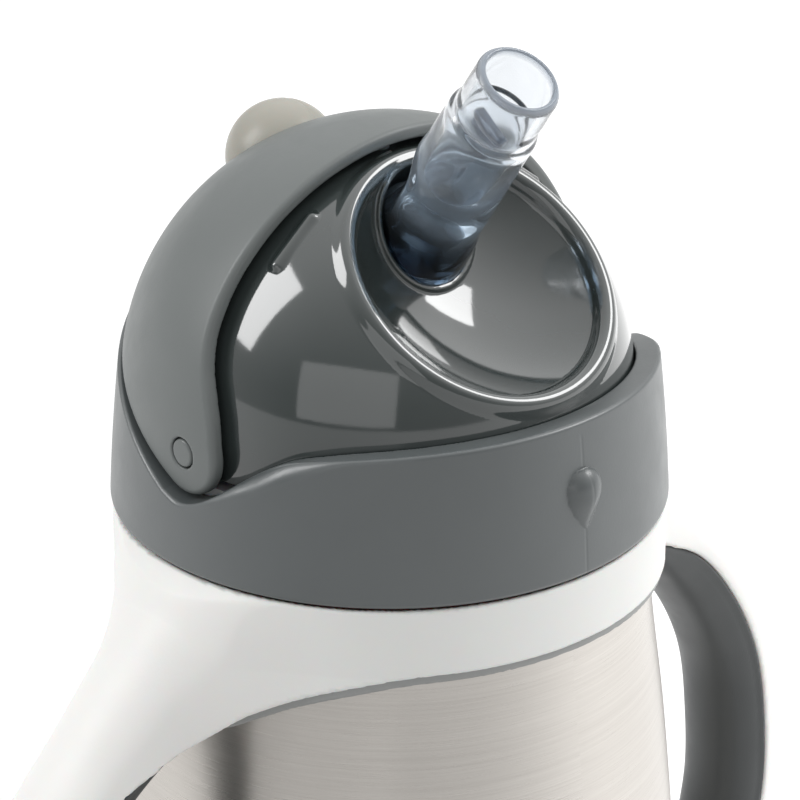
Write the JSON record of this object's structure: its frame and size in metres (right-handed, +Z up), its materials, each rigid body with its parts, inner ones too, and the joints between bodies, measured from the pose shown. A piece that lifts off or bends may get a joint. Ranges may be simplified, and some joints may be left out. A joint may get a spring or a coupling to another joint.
{
  "type": "sippy cup",
  "caption": "Toddler straw cup: insulated steel body, white clamped collar with curved side handles, and a screw lid whose turning cover folds a silicone straw into a dish.",
  "frame": {"origin": "centre of the foot, on the surface the cup stands on", "axes": "+Z up along the body, -Y towards the front of the lid where the straw folds down, handles on +X and -X"},
  "size_m": [0.1578, 0.0858, 0.1849],
  "materials": {
    "steel": "satin, brushed round the body",
    "white_plastic": "soft gloss",
    "grip_grey": "soft matt",
    "liner_grey": "soft matt",
    "ring_grey": "gloss",
    "cover_grey": "gloss",
    "dome_grey": "high gloss",
    "knob_warm": "soft gloss",
    "pin_grey": "gloss",
    "straw_clear": "clear silicone",
    "straw_dark": "clear silicone seen against the dark dome",
    "silicone_white": "matt silicone",
    "socket_grey": "satin"
  },
  "bodies": {
    "cup": {"outer_shell": "steel", "inner_vessel": "steel", "base_plate": "steel", "seal_cap": "steel", "base_foot": "liner_grey", "handle_frame": "white_plastic", "collar_liner": "liner_grey", "grip_left": "grip_grey", "grip_right": "grip_grey"},
    "seal": {"lid_gasket": "silicone_white"},
    "lid": {"lid_ring": "ring_grey", "dome": "dome_grey", "vent_valve": "silicone_white", "pivot_pin_left": "pin_grey", "pivot_pin_right": "pin_grey", "straw_base": "straw_dark", "straw_socket": "socket_grey", "dip_tube": "silicone_white"},
    "cover": {"cover": "cover_grey", "knob": "knob_warm"},
    "straw": {"straw_fold": "straw_clear", "straw_mouthpiece": "straw_clear", "straw_valve": "straw_dark"}
  },
  "joints": [
    {"name": "lid_rise", "type": "slide", "parent": "cup", "child": "seal", "axis": [0, 0, 1], "range_m": [0, 0.00563]},
    {"name": "lid_turn", "type": "hinge", "parent": "seal", "child": "lid", "pos_m": [0, 0, 0.1], "axis": [0, 0, 1], "range_deg": [0, 450]},
    {"name": "cover_turn", "type": "hinge", "parent": "lid", "child": "cover", "pos_m": [0, 0, 0.1321], "axis": [1, 0, 0], "range_deg": [0, 72]},
    {"name": "straw_turn", "type": "hinge", "parent": "lid", "child": "straw", "pos_m": [0, -0.0096, 0.16094], "axis": [1, 0, 0], "range_deg": [0, 101], "deforming": ["straw_fold", "straw_mouthpiece", "straw_valve"]}
  ],
  "couplings": [
    {"joint": "lid_rise", "follows": "lid_turn", "m_per_rad": 0.0007162},
    {"joint": "straw_turn", "follows": "cover_turn", "ratio": 1.4}
  ]
}
